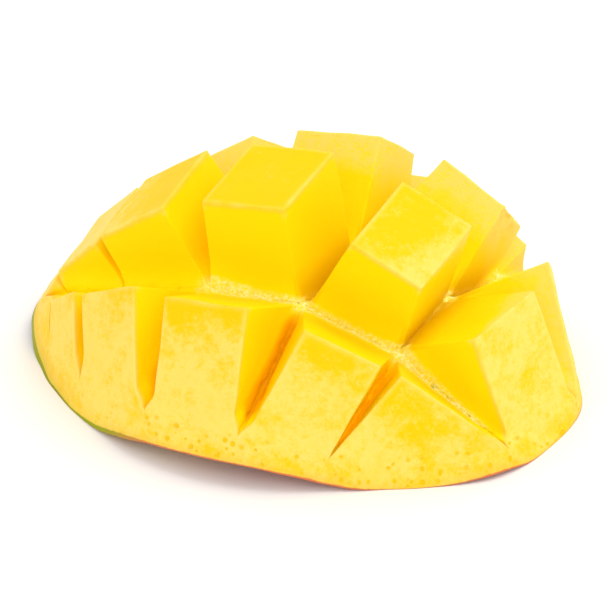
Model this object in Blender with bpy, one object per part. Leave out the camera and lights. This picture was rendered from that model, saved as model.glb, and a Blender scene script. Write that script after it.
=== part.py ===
"""A mango cheek cut into cubes on its skin and turned out, so that the cubes fan apart.

The cheek starts as it comes off the stone: flat cut face up, skin below. Knife cuts run down to
a thin layer on the skin and stop short of the rim. Then each cube turns outward about a level
axis, and its foot stays joined to its neighbours. One closed solid.
"""

import math

import bmesh
import bpy
import numpy as np
from mathutils import Matrix, Vector

MM = 0.001

# The cheek before it is turned out: long axis along X, flat cut face at z = 0, skin below.
HALF_LENGTH = 59.5 * MM
HALF_WIDTH = 45.5 * MM
DEPTH = 28.2 * MM
BELLY = 0.91            # power of the skin's profile: 0.5 is an ellipsoid, 1 a paraboloid
TAPER = 0.32            # how much deeper the cheek is towards its right end
SKIN_LAYER = 2.3 * MM   # flesh and peel left under the cuts
RIM_BAND = 6.0 * MM     # flesh left uncut inside the rim
NEARER = 2.5 * MM       # how much nearer the cuts come to the rim at the right end
KNIFE = 0.6 * MM
CHEEK_SEGMENTS = 64
CHEEK_RINGS = 24        # of the whole sphere that the cheek is half of
BLADE_STEPS = 20        # straight runs in the edge of a cut
COLLAR = 4.0 * MM       # height of the blades above the cut face

# Where the knife went: across the cheek at these X, and along it at these Y, measured on the cut face.
# A slope turns a cut across the cheek, and a lean tips the blade: its shift for each unit of depth.
CROSS_CUTS = [-41.5 * MM, -27.5 * MM, -8.5 * MM, 10.5 * MM, 27.0 * MM]
CROSS_SLOPES = [-0.025, 0.005, 0.03, 0.055, 0.07]
CROSS_LEANS = [-0.09, -0.18, -0.125, -0.05, 0.145]
LONG_CUTS = [-15.0 * MM, 6.0 * MM, 23.0 * MM]
LONG_LEANS = [-0.04, -0.025, 0.15]

# How far the rows of cubes turn towards the front, and the columns towards the right end, in degrees.
ROW_TURN = [66.0, 11.0, -36.0, -73.0]
COLUMN_TURN = [-57.5, -44.5, -35.0, -8.0, 29.5, 66.5]
# Cubes that stand off that rule: (column, row): forward, rightward and twist, in degrees.
OFF_TURN = {
    (0, 0): (-15, 7, -8),
    (1, 0): (-5, -3, -5),
    (2, 0): (-3, 0, 0),
    (3, 0): (2, 1, 3),
    (5, 0): (-5, -23, -4),
    (4, 1): (4, -2, 3),
    (5, 1): (3, 6, -2),
    (4, 2): (-4, -4, 0),
}

BEND = 5.0 * MM         # half-width of the bend of the skin under a cut
BEND_LINES = [-5.0 * MM, -2.5 * MM, 0.0, 2.5 * MM, 5.0 * MM]
FOOT = 2.0 * MM         # height over which a cube's foot joins the bend
REST_CUT = 1.7 * MM     # what is pressed flat where the rim rests
FLAT_ENOUGH = math.radians(1.2)  # faces that meet at less than this become one before they are split

ROWS = len(LONG_CUTS) + 1
COLUMNS = len(CROSS_CUTS) + 1
CELLS = [(column, row) for row in range(ROWS) for column in range(COLUMNS)]


def bowl_depth(x, y, half_length, half_width, depth):
    """Depth of a bowl under the cut face; negative outside its outline."""
    reach = 1.0 - (x / half_length) ** 2 - (y / half_width) ** 2
    return depth * (1.0 + TAPER * x / half_length) * np.sign(reach) * np.abs(reach) ** BELLY


def skin_depth(x, y):
    return bowl_depth(x, y, HALF_LENGTH, HALF_WIDTH, DEPTH)


def knife_depth(x, y):
    """Depth of the cuts at x, y."""
    return bowl_depth(x - NEARER, y, HALF_LENGTH - RIM_BAND, HALF_WIDTH - RIM_BAND, DEPTH - SKIN_LAYER)


def cross_cut_x(number, y, z):
    return CROSS_CUTS[number] + CROSS_SLOPES[number] * (y - LONG_CUTS[0]) - CROSS_LEANS[number] * z


def long_cut_y(line, z):
    return LONG_CUTS[line] - LONG_LEANS[line] * z


def foot_of_cuts(number, line):
    """The point where a cross cut meets a long cut at the skin layer."""
    x, y, z = CROSS_CUTS[number], LONG_CUTS[line], 0.0
    for _ in range(4):
        z = SKIN_LAYER - skin_depth(x, y)
        y = long_cut_y(line, z)
        x = cross_cut_x(number, y, z)
    return x, y, z


def smooth_step(value):
    value = np.clip(value, 0.0, 1.0)
    return value * value * (3.0 - 2.0 * value)


def turn_matrix(column, row):
    """The turn of one cube: about a level axis, plus its own small difference."""
    forward, rightward, twist = OFF_TURN.get((column, row), (0, 0, 0))
    turn = Vector((ROW_TURN[row] + forward, COLUMN_TURN[column] + rightward, twist))
    return np.array(Matrix.Rotation(math.radians(turn.length), 3, turn.normalized()))


def shared_corners():
    """Pairs of neighbouring cubes, with a point of the skin layer that both hold on to."""
    pairs = []
    for number in range(COLUMNS - 1):
        for line in range(ROWS - 1):
            corner = foot_of_cuts(number, line)
            pairs.append(((number, line), (number + 1, line), corner))
            pairs.append(((number, line + 1), (number + 1, line + 1), corner))
            pairs.append(((number, line), (number, line + 1), corner))
            pairs.append(((number + 1, line), (number + 1, line + 1), corner))
        for row, side in ((0, -1), (ROWS - 1, 1)):
            y = side * HALF_WIDTH * math.sqrt(1 - (CROSS_CUTS[number] / HALF_LENGTH) ** 2)
            pairs.append(((number, row), (number + 1, row), (cross_cut_x(number, y, 0.0), y, 0.0)))
    for line, y in enumerate(LONG_CUTS):
        for column, side in ((0, -1), (COLUMNS - 1, 1)):
            x = side * HALF_LENGTH * math.sqrt(1 - (y / HALF_WIDTH) ** 2)
            pairs.append(((column, line), (column, line + 1), (x, y, 0.0)))
    return pairs


def place_cubes():
    """Turns and places of all cubes, so that shared corners part as little as possible."""
    turns = {cell: turn_matrix(*cell) for cell in CELLS}
    pairs = shared_corners()
    links = np.zeros((len(pairs) + 1, len(CELLS)))
    gaps = np.zeros((len(pairs) + 1, 3))
    for line, (first, second, corner) in enumerate(pairs):
        links[line, CELLS.index(first)] = 1.0
        links[line, CELLS.index(second)] = -1.0
        gaps[line] = turns[second] @ corner - turns[first] @ corner
    links[-1, :] = 1.0
    places = np.linalg.lstsq(links, gaps, rcond=None)[0]
    return {cell: (turns[cell], places[number]) for number, cell in enumerate(CELLS)}


def cut_weights(distance, lift):
    """Shares of the cubes before and after each cut, for one point beside a row of cuts."""
    count = len(distance) + 1
    shares = np.zeros(count)
    own = sum(1 for gap in distance if gap > 0)
    shares[own] = 1.0
    for number, gap in enumerate(distance):
        joined = 0.5 * (1 - smooth_step(abs(gap) / BEND)) * (1 - smooth_step(lift / FOOT))
        other = number if gap > 0 else number + 1
        shares[other] += joined
        shares[own] -= joined
    return shares


def turned_out(point, cubes):
    """Where a point of the flat cheek goes when the cheek is turned out."""
    x, y, z = point
    lift = z + knife_depth(x, y)
    across = cut_weights([x - cross_cut_x(number, y, z) for number in range(COLUMNS - 1)], lift)
    along = cut_weights([y - long_cut_y(line, z) for line in range(ROWS - 1)], lift)
    place = np.zeros(3)
    for (column, row), (turn, shift) in cubes.items():
        share = across[column] * along[row]
        if share > 0.0:
            place += share * (turn @ np.array(point) + shift)
    return Vector(place)


def move_to(piece, collection):
    for owner in list(piece.users_collection):
        owner.objects.unlink(piece)
    collection.objects.link(piece)


def hide_cutter(piece):
    piece.hide_render = True
    piece.display_type = "WIRE"


def make_cheek(collection):
    """The flat cheek: the lower half of a sphere drawn out to the skin's depth, with a flat lid."""
    bpy.ops.mesh.primitive_uv_sphere_add(segments=CHEEK_SEGMENTS, ring_count=CHEEK_RINGS, radius=1.0)
    cheek = bpy.context.object
    cheek.name = "flat cheek"
    shape = bmesh.new()
    shape.from_mesh(cheek.data)
    whole = shape.verts[:] + shape.edges[:] + shape.faces[:]
    bmesh.ops.bisect_plane(
        shape, geom=whole, dist=1e-6, plane_co=(0, 0, 0), plane_no=(0, 0, 1), clear_outer=True)
    for vertex in shape.verts:
        vertex.co.x *= HALF_LENGTH
        vertex.co.y *= HALF_WIDTH
        vertex.co.z = -max(0.0, skin_depth(vertex.co.x, vertex.co.y))
    bmesh.ops.edgeloop_fill(shape, edges=[edge for edge in shape.edges if edge.is_boundary])
    bmesh.ops.recalc_face_normals(shape, faces=shape.faces)
    shape.to_mesh(cheek.data)
    shape.free()
    hide_cutter(cheek)
    move_to(cheek, collection)
    return cheek


def blade_outline(point_at, middle, half_reach):
    """The edge of one cut from end to end, then up and out of the cheek at both ends.

    point_at gives the point of the blade at a place along it and a height.
    """
    outline = []
    for step in range(1, BLADE_STEPS):
        along = middle - half_reach * math.cos(math.pi * step / BLADE_STEPS)
        z = 0.0
        for _ in range(6):
            x, y, _ = point_at(along, z)
            z = -max(0.0, knife_depth(x, y))
        outline.append(point_at(along, z))
    outline.append(point_at(middle + half_reach, COLLAR))
    outline.append(point_at(middle - half_reach, COLLAR))
    return outline


def make_blade(name, outline, thickness, collection):
    """A thin plate with the given outline."""
    shape = bmesh.new()
    near, far = [
        [shape.verts.new(Vector(point) + side * thickness) for point in outline] for side in (-0.5, 0.5)]
    shape.faces.new(near)
    shape.faces.new(reversed(far))
    for number, corner in enumerate(near):
        shape.faces.new((corner, far[number], far[number - 1], near[number - 1]))
    bmesh.ops.recalc_face_normals(shape, faces=shape.faces)
    mesh = bpy.data.meshes.new(name)
    shape.to_mesh(mesh)
    shape.free()
    blade = bpy.data.objects.new(name, mesh)
    hide_cutter(blade)
    collection.objects.link(blade)


def make_blades(collection):
    blades = bpy.data.collections.new("knife blades")
    collection.children.link(blades)
    reach_x = HALF_LENGTH - RIM_BAND
    reach_y = HALF_WIDTH - RIM_BAND
    for number, cut in enumerate(CROSS_CUTS):
        half_reach = reach_y * math.sqrt(1 - ((cut - NEARER) / reach_x) ** 2)
        outline = blade_outline(lambda y, z: (cross_cut_x(number, y, z), y, z), 0.0, half_reach)
        make_blade(f"cross blade {number}", outline, Vector((KNIFE, 0, 0)), blades)
    for line, cut in enumerate(LONG_CUTS):
        half_reach = reach_x * math.sqrt(1 - (cut / reach_y) ** 2)
        outline = blade_outline(lambda x, z: (x, long_cut_y(line, z), z), NEARER, half_reach)
        make_blade(f"long blade {line}", outline, Vector((0, KNIFE, 0)), blades)
    return blades


def cut_through(shape, point, direction):
    """Adds edges where a plane crosses the solid, without parting it."""
    whole = shape.verts[:] + shape.edges[:] + shape.faces[:]
    bmesh.ops.bisect_plane(shape, geom=whole, dist=1e-6, plane_co=point, plane_no=direction)


def add_bend_lines(shape):
    for number in range(COLUMNS - 1):
        across = (1.0, -CROSS_SLOPES[number], CROSS_LEANS[number])
        for offset in BEND_LINES:
            cut_through(shape, (cross_cut_x(number, 0.0, 0.0) + offset, 0.0, 0.0), across)
    for line in range(ROWS - 1):
        for offset in BEND_LINES:
            cut_through(shape, (0.0, LONG_CUTS[line] + offset, 0.0), (0.0, 1.0, LONG_LEANS[line]))


def evaluated_copy(piece):
    depsgraph = bpy.context.evaluated_depsgraph_get()
    return bpy.data.meshes.new_from_object(piece.evaluated_get(depsgraph))


def turn_out(mesh):
    """Bends the cut cheek so that every cube stands at its own turn."""
    cubes = place_cubes()
    shape = bmesh.new()
    shape.from_mesh(mesh)
    bmesh.ops.remove_doubles(shape, verts=shape.verts, dist=0.02 * MM)
    add_bend_lines(shape)
    bmesh.ops.triangulate(shape, faces=shape.faces)
    for vertex in shape.verts:
        vertex.co = turned_out(vertex.co, cubes)
    bmesh.ops.dissolve_limit(
        shape, angle_limit=FLAT_ENOUGH, verts=shape.verts, edges=shape.edges, use_dissolve_boundaries=False)
    bmesh.ops.triangulate(shape, faces=shape.faces)
    bmesh.ops.recalc_face_normals(shape, faces=shape.faces)
    shape.to_mesh(mesh)
    shape.free()


def stand_on_table(mesh):
    """Moves the mesh so that its lowest REST_CUT is below z = 0 and its middle is over the origin."""
    corners = np.array([vertex.co for vertex in mesh.vertices])
    low, high = corners.min(axis=0), corners.max(axis=0)
    middle = (low + high) / 2
    mesh.transform(Matrix.Translation((-middle[0], -middle[1], -low[2] - REST_CUT)))


def make_material(name, colour, roughness):
    material = bpy.data.materials.new(name)
    material.use_nodes = True
    shader = material.node_tree.nodes["Principled BSDF"]
    shader.inputs["Base Color"].default_value = (*colour, 1.0)
    shader.inputs["Roughness"].default_value = roughness
    shader.inputs["Metallic"].default_value = 0.0
    return material


def main():
    for thing in list(bpy.data.objects):
        bpy.data.objects.remove(thing)
    fruit = bpy.data.collections.new("mango slice")
    cutters = bpy.data.collections.new("cutters")
    for collection in (fruit, cutters):
        bpy.context.scene.collection.children.link(collection)

    cheek = make_cheek(cutters)
    knife = cheek.modifiers.new("knife cuts", "BOOLEAN")
    knife.operation = "DIFFERENCE"
    knife.operand_type = "COLLECTION"
    knife.collection = make_blades(cutters)
    mesh = evaluated_copy(cheek)
    turn_out(mesh)
    stand_on_table(mesh)

    slice_of_mango = bpy.data.objects.new("mango_slice", mesh)
    fruit.objects.link(slice_of_mango)
    bpy.ops.mesh.primitive_cube_add(size=4.0 * HALF_LENGTH, location=(0.0, 0.0, -2.0 * HALF_LENGTH))
    table = bpy.context.object
    table.name = "table"
    hide_cutter(table)
    move_to(table, cutters)
    rest = slice_of_mango.modifiers.new("flat spots of the rim", "BOOLEAN")
    rest.operation = "DIFFERENCE"
    rest.object = table
    mesh.materials.clear()
    mesh.materials.append(make_material("mango flesh", (1.0, 0.66, 0.03), 0.4))


main()
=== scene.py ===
import math

import bpy
import numpy as np
from mathutils import Matrix, Vector, noise


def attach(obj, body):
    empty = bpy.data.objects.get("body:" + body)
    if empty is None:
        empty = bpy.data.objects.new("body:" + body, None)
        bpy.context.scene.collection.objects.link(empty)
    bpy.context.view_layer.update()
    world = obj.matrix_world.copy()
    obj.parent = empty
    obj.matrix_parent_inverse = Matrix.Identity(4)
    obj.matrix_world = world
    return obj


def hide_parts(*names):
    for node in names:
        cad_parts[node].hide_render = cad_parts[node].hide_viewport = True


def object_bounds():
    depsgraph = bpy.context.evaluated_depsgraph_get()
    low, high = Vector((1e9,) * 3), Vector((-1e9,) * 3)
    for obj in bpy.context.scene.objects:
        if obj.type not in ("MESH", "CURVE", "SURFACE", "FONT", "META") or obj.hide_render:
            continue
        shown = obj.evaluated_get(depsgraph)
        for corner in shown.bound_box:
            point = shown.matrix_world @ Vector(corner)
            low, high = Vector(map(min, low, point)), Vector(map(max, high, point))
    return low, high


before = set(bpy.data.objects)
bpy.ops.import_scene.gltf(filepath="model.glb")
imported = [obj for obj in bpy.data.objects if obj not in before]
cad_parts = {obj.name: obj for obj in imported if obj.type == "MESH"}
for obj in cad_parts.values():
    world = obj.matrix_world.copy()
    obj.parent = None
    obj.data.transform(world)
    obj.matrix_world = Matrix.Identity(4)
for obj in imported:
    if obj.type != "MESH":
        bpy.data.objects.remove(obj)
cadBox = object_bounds()
mm = 0.001

# The cheek as it comes off the stone: long axis along X, cut face at z = 0, skin below. Lengths in metres.
cheek = {
    "halfLength": 59.5 * mm,
    "halfWidth": 45.5 * mm,
    "depth": 28.2 * mm,
    "belly": 0.91,  # 0.5 is an ellipsoid, 1 a paraboloid
    "taper": 0.32,  # how much deeper towards the right end
    "skinLayer": 2.3 * mm,
    "rimBand": 6.0 * mm,
    "nearer": 2.5 * mm,  # how much nearer the cuts come to the rim at the right end
    "knife": 0.6 * mm,
    "crossCuts": [-41.5 * mm, -27.5 * mm, -8.5 * mm, 10.5 * mm, 27.0 * mm],
    "crossSlopes": [-0.025, 0.005, 0.03, 0.055, 0.07],
    "crossLeans": [-0.09, -0.18, -0.125, -0.05, 0.145],
    "longCuts": [-15.0 * mm, 6.0 * mm, 23.0 * mm],
    "longLeans": [-0.04, -0.025, 0.15],
    "rowTurn": [66.0, 11.0, -36.0, -73.0],  # degrees towards the front
    "columnTurn": [-57.5, -44.5, -35.0, -8.0, 29.5, 66.5],  # degrees towards the right end
    "offTurn": {(0, 0): (-15, 7, -8), (1, 0): (-5, -3, -5), (2, 0): (-3, 0, 0), (3, 0): (2, 1, 3),
                (5, 0): (-5, -23, -4), (4, 1): (4, -2, 3), (5, 1): (3, 6, -2), (4, 2): (-4, -4, 0)},
    "bend": 5.0 * mm,  # half-width of the bend in the skin under a cut
    "foot": 2.0 * mm,  # height over which the bend fades into the cube
    "tipFoot": 6.5 * mm,  # the same at the ends of the cuts, which close softly
    "rimBend": 9.0 * mm,  # half-width of the bend in the uncut rim
    "tipReach": 0.4,  # share of the depth at which a cut's end is over
}

# How fine the surface is, and how soft its edges are.
surface = {
    "spacing": 0.8 * mm,
    "edgeSteps": [0.22 * mm, 0.5 * mm, 0.9 * mm, 1.45 * mm],  # first rows beside a cut
    "wallLevels": [0.0, 0.012, 0.03, 0.06, 0.11, 0.18, 0.26, 0.35,
                   0.45, 0.55, 0.65, 0.75, 0.84, 0.91, 0.96, 1.0],  # shares of the cut's depth
    "floorSteps": [0.25, 0.5, 0.75],  # rows across the floor of a cut
    "gridMargin": 1.0 * mm,  # how far the grid reaches past the outline
    "cornerPasses": 4,
    "gridPasses": 6,
    "fullWidthDepth": 1.5 * mm,  # where a cut is as wide as the knife
    "leastCut": 0.3 * mm,
    "leastDepth": 0.001 * mm,
    "mergeGap": 0.004 * mm,
    "rings": [1.6 * mm, 1.2 * mm, 0.85 * mm, 0.5 * mm, 0.25 * mm, 0.0],  # strips inside the outline
    "snapGap": 0.006,
    "rimGap": 0.01 * mm,
    "rimSteps": 720,
    "rimEvenness": 8.5 * mm,  # length over which the outline is evened
    "roundingPasses": 4,
    "roundingStrength": 0.6,
    "edgeReach": 0.7 * mm,
    "rimSharpness": 1.6,
    "farFromEdges": 10.0 * mm,
}

# What the knife and the tearing left: heights and lengths of the unevenness.
cheekRelief = {
    "wave": 0.22 * mm,
    "waveLength": 7.0,  # in millimetres, like the other noise sizes
    "crumb": 0.7 * mm,
    "crumbSize": 0.85,
    "crumbReach": 3.0 * mm,  # height above the floor of a cut
    "crumbDepth": 5.0 * mm,  # cuts less deep than this have few crumbs
    "floorWidth": 1.2 * mm,
    "crossFloor": 0.25,  # crumbs in the cross cuts, against 1 between the rows
    "sagBelow": 4.0 * mm,
    "leastShare": 0.02,
    "raggedCube": {"cut": 4, "from": 6 * mm, "to": 22 * mm, "fade": 2 * mm, "reach": 3.5 * mm,
                   "depth": 9 * mm, "size": 1.5, "height": 0.8 * mm, "loss": 0.25},
}

rowCount = len(cheek["longCuts"]) + 1
columnCount = len(cheek["crossCuts"]) + 1
cells = [(column, row) for row in range(rowCount) for column in range(columnCount)]


def bowlDepth(x, y, halfLength, halfWidth, depth):
    reach = 1.0 - (x / halfLength) ** 2 - (y / halfWidth) ** 2
    return depth * (1.0 + cheek["taper"] * x / halfLength) * np.sign(reach) * np.abs(reach) ** cheek["belly"]


def skinDepth(x, y):
    return bowlDepth(x, y, cheek["halfLength"], cheek["halfWidth"], cheek["depth"])


def knifeDepth(x, y):
    band = cheek["rimBand"]
    return bowlDepth(x - cheek["nearer"], y, cheek["halfLength"] - band, cheek["halfWidth"] - band,
                     cheek["depth"] - cheek["skinLayer"])


def cutDepth(x, y):
    return np.maximum(0.0, knifeDepth(x, y))


def crossCutX(number, y, z):
    return (cheek["crossCuts"][number] + cheek["crossSlopes"][number] * (y - cheek["longCuts"][0])
            - cheek["crossLeans"][number] * z)


def longCutY(line, z):
    return cheek["longCuts"][line] - cheek["longLeans"][line] * z


def smoothStep(value):
    value = np.clip(value, 0.0, 1.0)
    return value * value * (3.0 - 2.0 * value)


def cubeTurns():
    turns = {}
    for column, row in cells:
        forward, rightward, twist = cheek["offTurn"].get((column, row), (0, 0, 0))
        turn = Vector((cheek["rowTurn"][row] + forward, cheek["columnTurn"][column] + rightward, twist))
        turns[column, row] = np.array(Matrix.Rotation(math.radians(turn.length), 3, turn.normalized()))
    return turns


def sharedCorners():
    # Pairs of neighbouring cubes, with a point of the skin that both hold on to.
    pairs = []
    for number in range(columnCount - 1):
        for line in range(rowCount - 1):
            x, y, z = cheek["crossCuts"][number], cheek["longCuts"][line], 0.0
            for _ in range(surface["cornerPasses"]):
                z = cheek["skinLayer"] - skinDepth(x, y)
                y = longCutY(line, z)
                x = crossCutX(number, y, z)
            corner = (x, y, z)
            pairs.append(((number, line), (number + 1, line), corner))
            pairs.append(((number, line + 1), (number + 1, line + 1), corner))
            pairs.append(((number, line), (number, line + 1), corner))
            pairs.append(((number + 1, line), (number + 1, line + 1), corner))
        for row, side in ((0, -1), (rowCount - 1, 1)):
            reach = math.sqrt(1 - (cheek["crossCuts"][number] / cheek["halfLength"]) ** 2)
            y = side * cheek["halfWidth"] * reach
            pairs.append(((number, row), (number + 1, row), (crossCutX(number, y, 0.0), y, 0.0)))
    for line, y in enumerate(cheek["longCuts"]):
        for column, side in ((0, -1), (columnCount - 1, 1)):
            x = side * cheek["halfLength"] * math.sqrt(1 - (y / cheek["halfWidth"]) ** 2)
            pairs.append(((column, line), (column, line + 1), (x, y, 0.0)))
    return pairs


def cubePlaces():
    # Turns and places of all cubes, so that shared corners part as little as possible.
    turns = cubeTurns()
    pairs = sharedCorners()
    links = np.zeros((len(pairs) + 1, len(cells)))
    gaps = np.zeros((len(pairs) + 1, 3))
    for line, (first, second, corner) in enumerate(pairs):
        links[line, cells.index(first)] = 1.0
        links[line, cells.index(second)] = -1.0
        gaps[line] = turns[second] @ corner - turns[first] @ corner
    links[-1, :] = 1.0
    places = np.linalg.lstsq(links, gaps, rcond=None)[0]
    return {cell: (turns[cell], places[number]) for number, cell in enumerate(cells)}


def cutShares(distances, lift, foot, bend):
    # Shares of the cubes before and after each cut, for all points at once.
    total = len(lift)
    shares = np.zeros((total, len(distances) + 1))
    rows = np.arange(total)
    own = sum((gap > 0).astype(int) for gap in distances)
    shares[rows, own] = 1.0
    for number, gap in enumerate(distances):
        joined = 0.5 * (1 - smoothStep(np.abs(gap) / bend)) * (1 - smoothStep(lift / foot))
        other = np.where(gap > 0, number, number + 1)
        np.add.at(shares, (rows, other), joined)
        np.add.at(shares, (rows, own), -joined)
    return shares


def turnedOut(points, places):
    x, y, z = points.T
    depth = knifeDepth(x, y)
    inner = smoothStep(depth / (cheek["depth"] * cheek["tipReach"]))
    foot = cheek["tipFoot"] + (cheek["foot"] - cheek["tipFoot"]) * inner
    bend = cheek["bend"] + (cheek["rimBend"] - cheek["bend"]) * (1 - inner)
    crossGaps = [x - crossCutX(number, y, z) for number in range(columnCount - 1)]
    longGaps = [y - longCutY(line, z) for line in range(rowCount - 1)]
    across = cutShares(crossGaps, z + depth, foot, bend)
    along = cutShares(longGaps, z + depth, foot, bend)
    result = np.zeros_like(points)
    for (column, row), (turn, shift) in places.items():
        share = (across[:, column] * along[:, row])[:, None]
        result += share * (points @ turn.T + shift)
    return result


def samplesAcross(cuts, halfSpan):
    # One entry per grid line: interval, fraction in it, cut, place across the cut, wall level.
    edges = [-halfSpan] + list(cuts) + [halfSpan]
    lines = []
    for interval in range(len(edges) - 1):
        width = edges[interval + 1] - edges[interval]
        steps = surface["edgeSteps"]
        inner = width - 2 * steps[-1]
        count = max(1, round(inner / surface["spacing"]))
        places = [0.0] + steps + [steps[-1] + inner * n / count for n in range(1, count)]
        places += [width - step for step in reversed(steps)] + [width]
        lines += [(interval, place / width, None, 0.0, 0.0) for place in places]
        if interval < len(cuts):
            levels = surface["wallLevels"][1:]
            lines += [(interval, 1.0, interval, 0.0, level) for level in levels]
            lines += [(interval, 1.0, interval, step, 1.0) for step in surface["floorSteps"]]
            lines += [(interval + 1, 0.0, interval, 1.0, level) for level in reversed(levels)]
    return lines


def gridLines(cuts, halfSpan):
    lines = samplesAcross(cuts, halfSpan)
    return {
        "interval": np.array([line[0] for line in lines]),
        "fraction": np.array([line[1] for line in lines]),
        "cut": np.array([-1 if line[2] is None else line[2] for line in lines]),
        "across": np.array([line[3] for line in lines]),
        "level": np.array([line[4] for line in lines]),
    }


def placeOnLines(lines, cutAt, count, halfSpan, knife):
    # Coordinate of each grid line where the cuts stand at cutAt(number).
    low = np.full(knife.shape, -halfSpan)
    high = np.full(knife.shape, halfSpan)
    for number in range(count):
        place = cutAt(number)
        low = np.where(lines["interval"] > number, place + knife / 2, low)
        high = np.where(lines["interval"] == number, place - knife / 2, high)
    value = low + (high - low) * lines["fraction"]
    for number in range(count):
        onFloor = (lines["cut"] == number) & (lines["across"] > 0) & (lines["across"] < 1)
        value = np.where(onFloor, cutAt(number) + knife * (lines["across"] - 0.5), value)
    return value


def outerReach(x, y):
    return 1.0 - (x / cheek["halfLength"]) ** 2 - (y / cheek["halfWidth"]) ** 2


def outlineDistance(x, y):
    # Distance to the outline of the flat cheek, true close to it.
    slope = 2 * np.hypot(x / cheek["halfLength"] ** 2, y / cheek["halfWidth"] ** 2)
    return outerReach(x, y) / np.maximum(slope, 1.0)


def cheekGrid(withWalls):
    # The cut face with its cuts, or the skin under it, as a grid with points outside left out.
    halfX = cheek["halfLength"] + surface["gridMargin"]
    halfY = cheek["halfWidth"] + surface["gridMargin"]
    columns = gridLines(cheek["crossCuts"], halfX)
    rows = gridLines(cheek["longCuts"], halfY)
    if not withWalls:
        columns = {key: value[columns["level"] == 0] for key, value in columns.items()}
        rows = {key: value[rows["level"] == 0] for key, value in rows.items()}
    across = {key: value[:, None] for key, value in columns.items()}
    along = {key: value[None, :] for key, value in rows.items()}
    shape = (len(columns["level"]), len(rows["level"]))
    level = np.maximum(across["level"], along["level"]) * np.ones(shape)
    z = np.zeros(shape)
    knife = np.zeros(shape)
    for _ in range(surface["gridPasses"]):
        y = placeOnLines(along, lambda line: longCutY(line, z), rowCount - 1, halfY, knife)
        x = placeOnLines(across, lambda number: crossCutX(number, y, z), columnCount - 1, halfX, knife)
        reached = cutDepth(x, y)
        z = -reached * level
        if withWalls:
            knife = cheek["knife"] * np.minimum(1.0, reached / surface["fullWidthDepth"])
    return x, y, z


def snapToInset(x, y):
    # Points just outside the inset outline move onto it. The rest of the outside is left out.
    inset = surface["rings"][0]
    radius = np.hypot(x / (cheek["halfLength"] - inset), y / (cheek["halfWidth"] - inset))
    inside = radius < 1.0 - surface["snapGap"]
    near = inside.copy()
    for shiftX in (-1, 0, 1):
        for shiftY in (-1, 0, 1):
            near |= np.roll(np.roll(inside, shiftX, axis=0), shiftY, axis=1)
    snapped = near & ~inside
    x = np.where(snapped, x / radius, x)
    y = np.where(snapped, y / radius, y)
    return x, y, inside


def gridFaces(inside):
    # Quads with at least one corner inside.
    index = np.arange(inside.size).reshape(inside.shape)
    corners = [index[:-1, :-1], index[1:, :-1], index[1:, 1:], index[:-1, 1:]]
    keep = inside[:-1, :-1] | inside[1:, :-1] | inside[1:, 1:] | inside[:-1, 1:]
    return np.stack([corner[keep] for corner in corners], axis=1).tolist()


def mergeSame(points, faces, kinds):
    # Points at one place become one, and faces that shrink to a line are dropped.
    keys = np.round(points / surface["mergeGap"]).astype(np.int64)
    _, first, target = np.unique(keys, axis=0, return_index=True, return_inverse=True)
    target = target.ravel()
    kept = []
    keptKinds = []
    for face, kind in zip(faces, kinds):
        loop = [int(target[corner]) for corner in face]
        loop = [corner for place, corner in enumerate(loop) if corner != loop[place - 1]]
        if len(loop) > 2 and len(set(loop)) == len(loop):
            kept.append(loop)
            keptKinds.append(kind)
    used = np.unique([corner for face in kept for corner in face])
    renumber = np.full(len(first), -1)
    renumber[used] = np.arange(len(used))
    kept = [[int(renumber[corner]) for corner in face] for face in kept]
    return points[first][used], kept, keptKinds


def addRings(points, faces, depthAt):
    # Strips from the grid's border out to the outline, so that the rim's edge is fine and even.
    directed = {(face[place - 1], corner) for face in faces for place, corner in enumerate(face)}
    border = [edge for edge in directed if edge[::-1] not in directed]
    corners = sorted({corner for edge in border for corner in edge})
    place = {corner: number for number, corner in enumerate(corners)}
    angle = np.arctan2(points[corners, 1] / cheek["halfWidth"], points[corners, 0] / cheek["halfLength"])
    rings = [np.array(corners)]
    total = len(points)
    added = []
    for inset in surface["rings"][1:]:
        x = (cheek["halfLength"] - inset) * np.cos(angle)
        y = (cheek["halfWidth"] - inset) * np.sin(angle)
        added.append(np.stack([x, y, -depthAt(x, y) if inset > 0 else 0 * x], axis=1))
        rings.append(total + np.arange(len(corners)))
        total += len(corners)
    strips = []
    for inner, outer in zip(rings, rings[1:]):
        for start, end in sorted(border):
            first, second = place[start], place[end]
            strips.append([int(inner[second]), int(inner[first]), int(outer[first]), int(outer[second])])
    return np.concatenate([points] + added), faces + strips


def flatCheek():
    # Points, faces and which of the faces are peel.
    x, y, z = cheekGrid(True)
    x, y, inside = snapToInset(x, y)
    top = np.stack([x.ravel(), y.ravel(), np.where(inside, z, 0.0).ravel()], axis=1)
    faces = gridFaces(inside)
    top, faces, _ = mergeSame(top, faces, [0] * len(faces))
    top, faces = addRings(top, faces, lambda x, y: 0 * x)
    x, y, _ = cheekGrid(False)
    x, y, inside = snapToInset(x, y)
    under = np.stack([x.ravel(), y.ravel(), -np.maximum(0.0, skinDepth(x, y)).ravel()], axis=1)
    skin = gridFaces(inside)
    under, skin, _ = mergeSame(under, skin, [1] * len(skin))
    under, skin = addRings(under, skin, skinDepth)
    skin = [[corner + len(top) for corner in reversed(face)] for face in skin]
    kinds = [0] * len(faces) + [1] * len(skin)
    return mergeSame(np.concatenate([top, under]), faces + skin, kinds)


def cutDistances(x, y, z):
    # Distances to the nearest cut across and the nearest cut along.
    toCross = np.min([np.abs(x - crossCutX(number, y, z)) for number in range(columnCount - 1)], axis=0)
    toLong = np.min([np.abs(y - longCutY(line, z)) for line in range(rowCount - 1)], axis=0)
    return toCross, toLong


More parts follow.
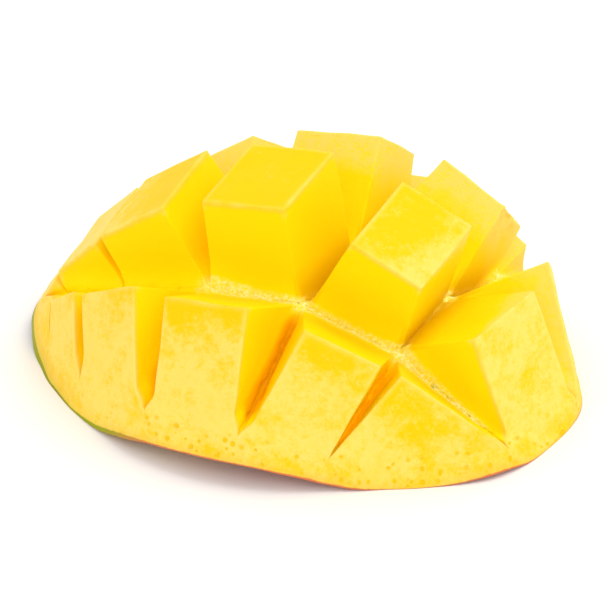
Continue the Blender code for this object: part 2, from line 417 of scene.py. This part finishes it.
def edgeDistance(flat):
    # Distance to the nearest sharp edge of the cubes, on the flat cheek.
    x, y, z = flat.T
    toCross, toLong = cutDistances(x, y, z)
    crossEdge = np.maximum(toCross - cheek["knife"] / 2, 0)
    longEdge = np.maximum(toLong - cheek["knife"] / 2, 0)
    lidEdge = np.hypot(np.minimum(crossEdge, longEdge), z)
    cornerEdge = np.hypot(crossEdge, longEdge)
    isCut = knifeDepth(x, y) > surface["leastCut"]
    return np.where(isCut, np.minimum(lidEdge, cornerEdge), surface["farFromEdges"])


def rowFloorShare(flat):
    # 1 near the cuts between rows, less near the other cuts, whose floors are clean.
    toCross, toLong = cutDistances(*flat.T)
    width = cheekRelief["floorWidth"]
    onRow = 1 - smoothStep((toLong - width) / width)
    onCross = 1 - smoothStep((toCross - width) / width)
    return np.maximum(onRow, cheekRelief["crossFloor"] * onCross)


def edgeWeights(flat):
    # 1 at the sharp edges of the flat cheek, falling to 0 within the reach of the rounding.
    x, y, z = flat.T
    onRim = np.hypot(outlineDistance(x, y), z)
    nearest = np.minimum(edgeDistance(flat), onRim * surface["rimSharpness"])
    return 1.0 - smoothStep(nearest / surface["edgeReach"])


def neighbourLinks(faces):
    pairs = set()
    for face in faces:
        for place, corner in enumerate(face):
            pairs.add((min(corner, face[place - 1]), max(corner, face[place - 1])))
    return np.array(sorted(pairs))


def roundEdges(points, links, weights):
    count = np.bincount(links.ravel(), minlength=len(points))
    for _ in range(surface["roundingPasses"]):
        middle = np.zeros_like(points)
        np.add.at(middle, links[:, 0], points[links[:, 1]])
        np.add.at(middle, links[:, 1], points[links[:, 0]])
        middle /= count[:, None]
        points = points + (surface["roundingStrength"] * weights)[:, None] * (middle - points)
    return points


def evenRim(points, flat):
    # The rim's outline is smoothed along its length, and what is near it follows.
    x, y, z = flat.T
    angle = np.arctan2(y / cheek["halfWidth"], x / cheek["halfLength"])
    onOutline = (outlineDistance(x, y) < surface["rimGap"]) & (z > -surface["rimGap"])
    order = np.argsort(angle[onOutline])
    known = angle[onOutline][order]
    fullTurn = 2 * math.pi
    steps = np.linspace(-math.pi, math.pi, surface["rimSteps"], endpoint=False)
    edge = points[onOutline][order]
    line = np.stack([np.interp(steps, known, edge[:, axis], period=fullTurn) for axis in range(3)], axis=1)
    radius = 0.5 * (cheek["halfLength"] + cheek["halfWidth"])
    kernel = np.fft.ifftshift(np.exp(-0.5 * (np.abs(steps) * radius / surface["rimEvenness"]) ** 2))
    kernel /= kernel.sum()
    kept = np.fft.fft(kernel)
    kept = kept * (2 - kept)  # so that the outline doesn't shrink
    smooth = np.real(np.fft.ifft(np.fft.fft(line, axis=0) * kept[:, None], axis=0))
    move = smooth - line
    share = 1 - smoothStep(outlineDistance(x, y) / cheek["rimBand"])
    shift = np.stack([np.interp(angle, steps, move[:, axis], period=fullTurn) for axis in range(3)], axis=1)
    return points + share[:, None] * shift


def unevenness(flat, isTop):
    # How far each point stands proud: a knife's waves, crumbs where the flesh tore, a ragged side.
    x, y, z = flat.T
    lift = z + cutDepth(x, y)
    torn = 1 - smoothStep(lift / cheekRelief["crumbReach"])
    tornShare = torn * smoothStep(-z / cheekRelief["crumbDepth"]) * isTop
    ragged = cheekRelief["raggedCube"]
    aside = crossCutX(ragged["cut"], y, z) - x
    raggedShare = (smoothStep(1 - aside / ragged["reach"]) * (aside > 0) * smoothStep(1 + z / ragged["depth"])
                   * smoothStep((y - ragged["from"]) / ragged["fade"])
                   * smoothStep((ragged["to"] - y) / ragged["fade"]) * isTop)
    result = np.zeros(len(flat))
    for number, point in enumerate(flat):
        place = Vector(point) / mm
        height = cheekRelief["wave"] * noise.noise(place / cheekRelief["waveLength"])
        if tornShare[number] > cheekRelief["leastShare"]:
            height += tornShare[number] * cheekRelief["crumb"] * noise.noise(place / cheekRelief["crumbSize"])
        if raggedShare[number] > cheekRelief["leastShare"]:
            tear = noise.noise(place / ragged["size"]) - ragged["loss"]
            height += raggedShare[number] * ragged["height"] * tear
        result[number] = height
    return result


def standInBox(points):
    # The middle of the box and its top are the CAD part's, and nothing passes its sides.
    # What is close to the table sags towards it.
    low = np.array(cadBox[0])
    high = np.array(cadBox[1])
    shift = (low + high) / 2 - (points.min(axis=0) + points.max(axis=0)) / 2
    shift[2] = high[2] - points[:, 2].max()
    points = np.clip(points + shift, low, high)
    points[:, 2] *= smoothStep(points[:, 2] / cheekRelief["sagBelow"])
    return points


def addAttribute(mesh, name, kind, values):
    layer = mesh.attributes.new(name, kind, "POINT")
    layer.data.foreach_set("vector" if kind == "FLOAT_VECTOR" else "value", values.ravel().astype(np.float32))


def buildCheek():
    flat, faces, kinds = flatCheek()
    print("flat cheek:", len(flat), "points,", sum(len(face) - 2 for face in faces), "triangles")
    points = turnedOut(flat, cubePlaces())
    points = evenRim(points, flat)
    points = roundEdges(points, neighbourLinks(faces), edgeWeights(flat))
    mesh = bpy.data.meshes.new("mango cheek")
    mesh.from_pydata(points.tolist(), [], faces)
    normals = np.zeros(len(points) * 3)
    mesh.vertices.foreach_get("normal", normals)
    x, y, z = flat.T
    # The top reaches down to the middle between the floors of the cuts and the skin.
    middle = -0.5 * np.maximum(skinDepth(x, y) + cutDepth(x, y), surface["leastDepth"])
    isTop = (z > middle).astype(float)
    points = standInBox(points + unevenness(flat, isTop)[:, None] * normals.reshape(-1, 3))
    mesh.vertices.foreach_set("co", points.ravel())
    mesh.polygons.foreach_set("material_index", np.array(kinds, dtype=np.int32))
    mesh.polygons.foreach_set("use_smooth", np.ones(len(faces), dtype=bool))
    addAttribute(mesh, "rest", "FLOAT_VECTOR", flat / mm)
    addAttribute(mesh, "lift", "FLOAT", (z + cutDepth(x, y)) / mm)
    addAttribute(mesh, "reach", "FLOAT", outerReach(x, y))
    addAttribute(mesh, "toRim", "FLOAT", outlineDistance(x, y) / mm)
    addAttribute(mesh, "toEdge", "FLOAT", edgeDistance(flat) / mm)
    addAttribute(mesh, "rowFloor", "FLOAT", rowFloorShare(flat))
    mesh.update()
    piece = bpy.data.objects.new("mangoCheek", mesh)
    bpy.context.scene.collection.objects.link(piece)
    return piece


def makeMaterial(name):
    material = bpy.data.materials.new(name)
    material.use_nodes = True
    return material, material.node_tree, material.node_tree.nodes["Principled BSDF"]


def addNode(tree, kind, inputs, **settings):
    # A shader node with its sockets set to values or joined to other sockets.
    made = tree.nodes.new("ShaderNode" + kind)
    for name, value in settings.items():
        setattr(made, name, value)
    for name, value in inputs.items():
        if isinstance(value, bpy.types.NodeSocket):
            tree.links.new(value, made.inputs[name])
        else:
            made.inputs[name].default_value = value
    return made


def attributeValue(tree, name):
    return addNode(tree, "Attribute", {}, attribute_name=name).outputs["Fac"]


def restPlace(tree):
    return addNode(tree, "Attribute", {}, attribute_name="rest").outputs["Vector"]


def noiseAt(tree, place, size, detail=3.0, roughness=0.55):
    # Noise with features of the given size in millimetres.
    inputs = {"Vector": place, "Scale": 1.0 / size, "Detail": detail, "Roughness": roughness}
    return addNode(tree, "TexNoise", inputs).outputs["Fac"]


def fade(tree, value, low, high, atLow=0.0, atHigh=1.0):
    # A soft step from one value to another, also downwards.
    inputs = {"Value": value, "From Min": low, "From Max": high, "To Min": atLow, "To Max": atHigh}
    return addNode(tree, "MapRange", inputs, interpolation_type="SMOOTHSTEP").outputs["Result"]


def calculate(tree, operation, first, second=0.0, third=0.0):
    inputs = {0: first, 1: second, 2: third}
    return addNode(tree, "Math", inputs, operation=operation).outputs[0]


def product(tree, *factors):
    # The factors multiplied together, in the order given.
    result = factors[0]
    for factor in factors[1:]:
        result = calculate(tree, "MULTIPLY", result, factor)
    return result


def blend(tree, share, first, second):
    inputs = {"Factor": share, 6: first, 7: second}
    return addNode(tree, "Mix", inputs, data_type="RGBA").outputs[2]


# The shape of one scattered dot: distances are shares of its radius.
dotShape = {
    "smallest": 0.65,
    "variation": 0.7,
    "edge": (0.65, 1.15, 1.0, 0.0),
    "ringRise": (0.85, 1.15),
    "ringFall": (1.35, 1.75, 1.0, 0.0),
}


def dotsGroup():
    # Scattered round dots: a mask of the dots, and a ring round each of them.
    group = bpy.data.node_groups.new("scattered dots", "ShaderNodeTree")
    face = group.interface
    face.new_socket("Place", in_out="INPUT", socket_type="NodeSocketVector")
    for name in ("Spacing", "Radius", "Share"):
        face.new_socket(name, in_out="INPUT", socket_type="NodeSocketFloat")
    for name in ("Dot", "Ring"):
        face.new_socket(name, in_out="OUTPUT", socket_type="NodeSocketFloat")
    given = group.nodes.new("NodeGroupInput")
    result = group.nodes.new("NodeGroupOutput")
    scale = calculate(group, "DIVIDE", 1.0, given.outputs["Spacing"])
    cellsNode = addNode(group, "TexVoronoi", {"Vector": given.outputs["Place"], "Scale": scale})
    distance = calculate(group, "MULTIPLY", cellsNode.outputs["Distance"], given.outputs["Spacing"])
    cellColour = addNode(group, "SeparateColor", {"Color": cellsNode.outputs["Color"]})
    chosen = calculate(group, "LESS_THAN", cellColour.outputs["Red"], given.outputs["Share"])
    size = calculate(group, "MULTIPLY_ADD", cellColour.outputs["Green"],
                     dotShape["variation"], dotShape["smallest"])
    radius = calculate(group, "MULTIPLY", size, given.outputs["Radius"])
    ratio = calculate(group, "DIVIDE", distance, radius)
    dot = product(group, fade(group, ratio, *dotShape["edge"]), chosen)
    rise = fade(group, ratio, *dotShape["ringRise"])
    fall = fade(group, ratio, *dotShape["ringFall"])
    ring = product(group, rise, fall, chosen)
    group.links.new(dot, result.inputs["Dot"])
    group.links.new(ring, result.inputs["Ring"])
    return group


def addDots(tree, group, place, spacing, radius, share):
    node = tree.nodes.new("ShaderNodeGroup")
    node.node_tree = group
    tree.links.new(place, node.inputs["Place"])
    node.inputs["Spacing"].default_value = spacing
    node.inputs["Radius"].default_value = radius
    node.inputs["Share"].default_value = share
    return node.outputs["Dot"], node.outputs["Ring"]


def addBump(tree, shader, height, strength):
    bump = addNode(tree, "Bump", {"Strength": strength, "Distance": 1.0 * mm, "Height": height})
    tree.links.new(bump.outputs["Normal"], shader.inputs["Normal"])


# Ripe flesh: deep yellow inside, paler in streaks and blotches towards the outside of the cut face.
fleshLook = {
    "face": (1.0, 0.605, 0.003, 1.0),  # the middle of the cut face
    "wall": (1.0, 0.73, 0.002, 1.0),  # the walls of the cuts, painted lighter than the cut face in place of the light that reaches them less
    "pale": (1.0, 0.715, 0.14, 1.0),
    # painted shade on the rim band at the left end, which turns downward
    "paintedRimShade": (0.8, 0.55, 0.07, 1.0),
    "torn": (1.0, 0.7, 0.05, 1.0),
    "tornPale": (1.0, 0.86, 0.45, 1.0),
    "paintedCreaseShade": (0.62, 0.26, 0.0, 1.0),  # painted shade at the bottom of the short cuts along the front
    "paintedValleyShade": (0.5, 0.33, 0.0, 1.0),  # painted shade in the narrowest valleys behind the front row
    "rimEdge": (0.8, 0.56, 0.07, 1.0),
    "speck": (0.42, 0.2, 0.03, 1.0),
    "pit": (0.86, 0.56, 0.003, 1.0),
    "greenPeel": (0.34, 0.36, 0.02, 1.0),
    "redPeel": (0.7, 0.2, 0.08, 1.0),
    "noGlow": (0.0, 0.0, 0.0, 1.0),
    "paintedInsideGlow": (0.26, 0.11, 0.0, 1.0),  # painted glow: emission standing in for light that reaches the bottom of the cuts through the flesh
    # painted glow: emission that lightens the torn crumbs in the shade of the cut floors
    "paintedTornGlow": (0.1, 0.15, 0.015, 1.0),
    "roughness": (0.3, 1.0, 0.42, 0.6),  # by the torn flesh and the grain
    "specular": 0.04,
    "glow": 0.1,  # light that spreads inside the flesh
    "glowColours": (1.0, 0.5, 0.08),
    "glowReach": 2.2 * mm,
    "bump": 0.8,
}

# Noises by size in millimetres, detail and roughness, and dots by spacing, radius and share.
fleshPattern = {
    "blotch": (9.0, 5.0, 0.62),
    "mottle": (1.7, 3.0),
    "grain": (0.45, 2.0),
    "fibre": (0.7, 2.0),
    "fibreStretch": (1.0, 1.0, 0.2),  # the fibres run down the walls
    "crumbs": (0.7, 2.0),
    "speck": (1.5, 0.15, 0.2),
    "pit": (3.4, 0.62, 0.45),
    "dot": (1.7, 0.44, 0.7),
}

# Soft steps, in millimetres on the flat cheek: start, end and, unless they are 0 and 1, the values there.
fleshSteps = {
    "wall": (0.1, 1.5),  # by depth
    # painted highlight along the top edges of the cubes
    "paintedEdgeHighlight": (0.15, 1.3, 0.6, 0.0),
    "nearTop": (2.5, 0.8),
    "edgePatches": (0.3, 0.6),
    # painted shade on the rim band at the left end
    "rimShadeBand": (6.5, 0.8),
    "rimShadeEnd": (-22.0, -46.0, 0.0, 0.9),
    "tornLift": (1.9, 3.9, 1.0, 0.0),
    "tornDepth": (3.0, 7.0),
    "tornFront": (-18.5, -16.5),
    "tornLeft": (-14.0, -8.0),
    "tornPatches": (0.42, 0.62),
    # painted shade at the bottom of the short cuts along the front
    "creaseLift": (5.5, 0.2),
    "creaseBack": (-16.5, -20.5),
    "creaseDepth": (2.0, 5.0),
    "creaseRight": (15.0, 22.0, 1.0, 0.35),
    # painted shade in the narrow valleys behind the front row
    "valleyWalls": (1.4, 0.7),
    "valleyFront": (-17.0, -14.0),
    "valleyBack": (24.0, 16.0),
    "valleyLift": (10.0, 0.0, 0.0, 0.85),
    "pitBand": (7.5, 5.5),
    "pitEdge": (0.5, 1.2),
    "pitDepth": (0.6, 0.1),
    "pitLeft": (-34.0, 0.0, 0.35, 1.0),
    "rimEdge": (2.4, 0.2, 0.0, 0.7),
    "peelWidth": (-48.0, -6.0, 1.7, 0.5),
    "peelEdge": (0.1, 0.35, 1.0, 0.0),
    "peelRed": (-22.0, -6.0),
    # painted glow: where the emission lies, by height over the floor and by depth
    "paintedGlowLift": (9.0, 0.0),
    "paintedGlowDepth": (0.8, 5.0),
}

# How pale the flesh is by place, how much each noise adds, and how far down the walls it goes.
paleness = {
    "outward": (0.95, 0.72),
    "eastward": (-10.0, 60.0, 1.0, 0.8),
    "rimward": (0.5, 7.0, 0.78, 1.0),
    "ripeRows": (-30.0, -17.0, 0.0, 0.65),
    "ripeBack": (-14.0, -15.0),
    "ripeLeft": (4.0, 14.0, 0.25, 1.0),
    "ripeRight": (30.0, 44.0, 1.0, 0.3),
    "rowBehind": (5.9, 6.2),
    "rightEnd": (29.0, 33.0, 1.0, 0.0),
    "baseShares": (0.0, 1.07),  # from here on pairs are for the front rows and the rows behind
    "grainShares": (0.6, 3.2),
    "blotchShares": (2.6, 1.6),
    "extraDepths": (0.0, 3.0),
    "grainHeights": (0.035, 0.12),
    "mottleShare": 1.3,
    "fibreShare": 0.8,
    "range": (0.15, 1.25),
    "depths": (-14.0, 7.0, 0.7, 8.5),
    "wallFade": (0.1, 1.0, 1.0, 0.0),
}

fleshHeights = {"mottle": 0.1, "crumbs": 0.4, "pit": -0.13, "pitRing": 0.1}
tornUnevenness = 2.2
peelUnevenness = 0.35
shadedCuts = (3, 4)


def rowsBehind(tree, x, y, near, behind):
    # One value for the two front rows and the right end, another for the paler and grainier rows behind.
    share = product(tree, fade(tree, y, *paleness["rowBehind"]), fade(tree, x, *paleness["rightEnd"]))
    return fade(tree, share, 0.0, 1.0, near, behind)


def centred(tree, value, strength):
    # A noise that swings about 0.
    return product(tree, calculate(tree, "SUBTRACT", value, 0.5), strength)


def paleShare(tree, place, x, y, depth, blotch, mottle, grain):
    # Where the flesh is pale: outside the middle, on the cut face and a little way down the walls.
    outward = fade(tree, attributeValue(tree, "reach"), *paleness["outward"])
    rimward = fade(tree, attributeValue(tree, "toRim"), *paleness["rimward"])
    base = product(tree, outward, fade(tree, x, *paleness["eastward"]), rimward)
    base = calculate(tree, "MAXIMUM", base, rowsBehind(tree, x, y, *paleness["baseShares"]))
    ripeRows = product(tree, fade(tree, y, *paleness["ripeRows"]), fade(tree, y, *paleness["ripeBack"]))
    ripe = product(tree, ripeRows, fade(tree, x, *paleness["ripeLeft"]),
                   fade(tree, x, *paleness["ripeRight"]))
    base = calculate(tree, "SUBTRACT", base, ripe)
    stretch = {0: place, 1: fleshPattern["fibreStretch"]}
    stretched = addNode(tree, "VectorMath", stretch, operation="MULTIPLY").outputs[0]
    fibre = centred(tree, noiseAt(tree, stretched, *fleshPattern["fibre"]), paleness["fibreShare"])
    fine = centred(tree, grain, rowsBehind(tree, x, y, *paleness["grainShares"]))
    broad = centred(tree, blotch, rowsBehind(tree, x, y, *paleness["blotchShares"]))
    small = centred(tree, mottle, paleness["mottleShare"])
    total = calculate(tree, "ADD", calculate(tree, "ADD", base, broad), calculate(tree, "ADD", small, fine))
    total = calculate(tree, "ADD", total, fibre)
    extra = rowsBehind(tree, x, y, *paleness["extraDepths"])
    fadeDepth = calculate(tree, "ADD", fade(tree, y, *paleness["depths"]), extra)
    uneven = calculate(tree, "MULTIPLY_ADD", broad, fadeDepth, depth)
    upper = fade(tree, calculate(tree, "DIVIDE", uneven, fadeDepth), *paleness["wallFade"])
    return product(tree, fade(tree, total, *paleness["range"]), upper)


def valleyShare(tree, line, x, y, depth):
    # The walls of one cross cut, where the painted shade goes.
    leaning = calculate(tree, "MULTIPLY_ADD", depth, cheek["crossLeans"][line], cheek["crossCuts"][line] / mm)
    fromFront = calculate(tree, "SUBTRACT", y, cheek["longCuts"][0] / mm)
    middle = calculate(tree, "MULTIPLY_ADD", fromFront, cheek["crossSlopes"][line], leaning)
    away = calculate(tree, "ABSOLUTE", calculate(tree, "SUBTRACT", x, middle))
    return fade(tree, away, *fleshSteps["valleyWalls"])


def fleshMaterial(dots):
    material, tree, shader = makeMaterial("mango flesh")
    place = restPlace(tree)
    parts = addNode(tree, "SeparateXYZ", {"Vector": place})
    x, y = parts.outputs["X"], parts.outputs["Y"]
    depth = calculate(tree, "MULTIPLY", parts.outputs["Z"], -1.0)
    toRim = attributeValue(tree, "toRim")
    lift = attributeValue(tree, "lift")
    blotch = noiseAt(tree, place, *fleshPattern["blotch"])
    mottle = noiseAt(tree, place, *fleshPattern["mottle"])
    grain = noiseAt(tree, place, *fleshPattern["grain"])
    crumbs = noiseAt(tree, place, *fleshPattern["crumbs"])

    def step(value, name):
        return fade(tree, value, *fleshSteps[name])

    # Cut face and walls, paler in patches, with a painted highlight along the edges of the cubes.
    # The walls are painted lighter than the cut face, standing in for the light that reaches them less.
    colour = blend(tree, step(depth, "wall"), fleshLook["face"], fleshLook["wall"])
    pale = paleShare(tree, place, x, y, depth, blotch, mottle, grain)
    colour = blend(tree, pale, colour, fleshLook["pale"])
    # Painted highlight: a pale line along the top edges of the cubes, in patches.
    paintedEdgeHighlight = product(tree, step(attributeValue(tree, "toEdge"), "paintedEdgeHighlight"), step(depth, "nearTop"),
                       step(blotch, "edgePatches"))
    colour = blend(tree, paintedEdgeHighlight, colour, fleshLook["pale"])
    # Painted shade: the rim band at the left end, turned downward, darker.
    paintedRimShade = product(tree, step(toRim, "rimShadeBand"), step(x, "rimShadeEnd"))
    colour = blend(tree, paintedRimShade, colour, fleshLook["paintedRimShade"])

    # Torn flesh on the floors between the rows.
    lowness = calculate(tree, "MULTIPLY_ADD", mottle, tornUnevenness, lift)
    torn = product(tree, step(lowness, "tornLift"), step(depth, "tornDepth"),
                   attributeValue(tree, "rowFloor"), step(y, "tornFront"), step(x, "tornLeft"))
    tornColour = blend(tree, step(crumbs, "tornPatches"), fleshLook["torn"], fleshLook["tornPale"])
    colour = blend(tree, torn, colour, tornColour)
    speck, _ = addDots(tree, dots, place, *fleshPattern["speck"])
    colour = blend(tree, product(tree, speck, torn), colour, fleshLook["speck"])

    # Painted shade at the bottom of the short cuts and of the narrow valleys.
    paintedCreaseShade = product(tree, step(lift, "creaseLift"), step(y, "creaseBack"), step(depth, "creaseDepth"),
                     step(x, "creaseRight"))
    colour = blend(tree, paintedCreaseShade, colour, fleshLook["paintedCreaseShade"])
    # Painted shade down the walls of the narrow valleys
    valleys = [valleyShare(tree, line, x, y, depth) for line in shadedCuts]
    paintedValleyShade = product(tree, calculate(tree, "MAXIMUM", *valleys), step(y, "valleyFront"),
                     step(y, "valleyBack"), step(lift, "valleyLift"), calculate(tree, "SUBTRACT", 1.0, torn))
    colour = blend(tree, paintedValleyShade, colour, fleshLook["paintedValleyShade"])

    # The uncut rim: a duller edge, pits and the peel's own edge.
    rimBand = product(tree, step(toRim, "pitBand"), step(toRim, "pitEdge"), step(depth, "pitDepth"),
                      step(x, "pitLeft"))
    pit, pitRing = addDots(tree, dots, place, *fleshPattern["pit"])
    dot, _ = addDots(tree, dots, place, *fleshPattern["dot"])
    pits = product(tree, calculate(tree, "MAXIMUM", pit, dot), rimBand)
    colour = blend(tree, step(toRim, "rimEdge"), colour, fleshLook["rimEdge"])
    colour = blend(tree, pits, colour, fleshLook["pit"])
    pastPeel = calculate(tree, "SUBTRACT", toRim, step(x, "peelWidth"))
    pastPeel = calculate(tree, "MULTIPLY_ADD", mottle, peelUnevenness, pastPeel)
    peelColour = blend(tree, step(x, "peelRed"), fleshLook["greenPeel"], fleshLook["redPeel"])
    colour = blend(tree, step(pastPeel, "peelEdge"), colour, peelColour)
    tree.links.new(colour, shader.inputs["Base Color"])

    # Painted glow: emission at the bottom of the deep cuts and on the torn crumbs, in place of light
    deep = product(tree, step(lift, "paintedGlowLift"), step(depth, "paintedGlowDepth"))
    glow = blend(tree, deep, fleshLook["noGlow"], fleshLook["paintedInsideGlow"])
    tree.links.new(blend(tree, torn, glow, fleshLook["paintedTornGlow"]), shader.inputs["Emission Color"])
    shader.inputs["Emission Strength"].default_value = 1.0

    height = product(tree, grain, rowsBehind(tree, x, y, *paleness["grainHeights"]))
    height = calculate(tree, "MULTIPLY_ADD", mottle, fleshHeights["mottle"], height)
    height = calculate(tree, "MULTIPLY_ADD", product(tree, crumbs, torn), fleshHeights["crumbs"], height)
    height = calculate(tree, "MULTIPLY_ADD", pits, fleshHeights["pit"], height)
    height = calculate(tree, "MULTIPLY_ADD", product(tree, pitRing, rimBand), fleshHeights["pitRing"], height)
    addBump(tree, shader, height, fleshLook["bump"])
    roughness = fade(tree, calculate(tree, "MAXIMUM", torn, grain), *fleshLook["roughness"])
    tree.links.new(roughness, shader.inputs["Roughness"])
    shader.inputs["Specular IOR Level"].default_value = fleshLook["specular"]
    shader.inputs["Subsurface Weight"].default_value = fleshLook["glow"]
    shader.inputs["Subsurface Radius"].default_value = fleshLook["glowColours"]
    shader.inputs["Subsurface Scale"].default_value = fleshLook["glowReach"]
    return material


# The peel under the fruit: green at the left end, blushed red at the right, with pale dots.
peelLook = {
    "green": (0.3, 0.34, 0.025, 1.0),
    "yellow": (0.72, 0.42, 0.03, 1.0),
    "blush": (0.58, 0.14, 0.05, 1.0),
    "dots": (0.78, 0.66, 0.25, 1.0),
    "dotStrength": 0.7,
    "dotSpread": (2.6, 0.24, 0.6),
    "cloud": (18.0, 4.0),
    "cloudShift": 60.0,  # how far the clouds move the borders between the colours
    "grain": (0.6, 2.0),
    "yellowFrom": (-14.0, 8.0),
    "blushFrom": (8.0, 44.0),
    "heights": 0.05,  # of the dots and of the grain
    "bump": 0.6,
    "roughness": (0.3, 0.8, 0.38, 0.5),  # by the grain
}


def peelMaterial(dots):
    material, tree, shader = makeMaterial("mango peel")
    place = restPlace(tree)
    parts = addNode(tree, "SeparateXYZ", {"Vector": place})
    cloud = noiseAt(tree, place, *peelLook["cloud"])
    grain = noiseAt(tree, place, *peelLook["grain"])
    along = calculate(tree, "MULTIPLY_ADD", cloud, peelLook["cloudShift"], parts.outputs["X"])
    colour = blend(tree, fade(tree, along, *peelLook["yellowFrom"]), peelLook["green"], peelLook["yellow"])
    colour = blend(tree, fade(tree, along, *peelLook["blushFrom"]), colour, peelLook["blush"])
    dot, _ = addDots(tree, dots, place, *peelLook["dotSpread"])
    colour = blend(tree, product(tree, dot, peelLook["dotStrength"]), colour, peelLook["dots"])
    tree.links.new(colour, shader.inputs["Base Color"])
    height = product(tree, grain, peelLook["heights"])
    height = calculate(tree, "MULTIPLY_ADD", dot, peelLook["heights"], height)
    addBump(tree, shader, height, peelLook["bump"])
    roughness = fade(tree, grain, *peelLook["roughness"])
    tree.links.new(roughness, shader.inputs["Roughness"])
    return material


dots = dotsGroup()
piece = buildCheek()
piece.data.materials.append(fleshMaterial(dots))
piece.data.materials.append(peelMaterial(dots))
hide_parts("mango_slice")
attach(piece, "root")
print("cheek built")

# Camera, floor and light: angles in degrees, powers in watts and lengths in metres.
studio = {
    "azimuth": 27.33,
    "elevation": 29.25,
    "distance": 0.5564,
    "aim": (2.6 * mm, -1.9 * mm, 14.85 * mm),
    "fieldOfView": 12.7,
    "nearest": 0.01,
    "farthest": 20.0,
    "floorSize": 6.0,
    "floorColour": (1.0, 0.955, 0.925, 1.0),
    "floorRoughness": 0.9,
    "floorSpecular": 0.1,
    "worldColour": (1.0, 1.0, 1.0, 1.0),
    "worldStrength": 0.95,
    "lights": {
        "key": {"power": 4.0, "size": 0.8, "place": (0.45, 0.35, 1.1)},
        "front": {"power": 3.0, "size": 1.1, "place": (0.55, -1.1, 0.95)},
    },
    "lightAim": (0.0, 0.0, 20.0 * mm),
}


def aimAt(thing, target):
    thing.rotation_euler = (Vector(target) - thing.location).to_track_quat("-Z", "Y").to_euler()


def addCamera():
    data = bpy.data.cameras.new("camera")
    camera = bpy.data.objects.new("camera", data)
    bpy.context.scene.collection.objects.link(camera)
    turn = math.radians(studio["azimuth"])
    rise = math.radians(studio["elevation"])
    away = Vector((math.sin(turn) * math.cos(rise), -math.cos(turn) * math.cos(rise), math.sin(rise)))
    camera.location = Vector(studio["aim"]) + studio["distance"] * away
    aimAt(camera, studio["aim"])
    data.angle = math.radians(studio["fieldOfView"])
    data.clip_start = studio["nearest"]
    data.clip_end = studio["farthest"]
    bpy.context.scene.camera = camera


def addFloor():
    bpy.ops.mesh.primitive_plane_add(size=studio["floorSize"])
    floor = bpy.context.object
    floor.name = "floor"
    material, _, shader = makeMaterial("floor")
    shader.inputs["Base Color"].default_value = studio["floorColour"]
    shader.inputs["Roughness"].default_value = studio["floorRoughness"]
    shader.inputs["Specular IOR Level"].default_value = studio["floorSpecular"]
    floor.data.materials.append(material)


def addLight(name, look):
    data = bpy.data.lights.new(name, "AREA")
    data.shape = "DISK"
    data.size = look["size"]
    data.energy = look["power"]
    light = bpy.data.objects.new(name, data)
    light.location = look["place"]
    aimAt(light, studio["lightAim"])
    bpy.context.scene.collection.objects.link(light)


def addWorld():
    world = bpy.data.worlds.new("studio")
    world.use_nodes = True
    background = world.node_tree.nodes["Background"]
    background.inputs["Color"].default_value = studio["worldColour"]
    background.inputs["Strength"].default_value = studio["worldStrength"]
    bpy.context.scene.world = world


addCamera()
addFloor()
addWorld()
for name, look in studio["lights"].items():
    addLight(name, look)
bpy.context.scene.view_settings.view_transform = "Standard"
print("studio set")
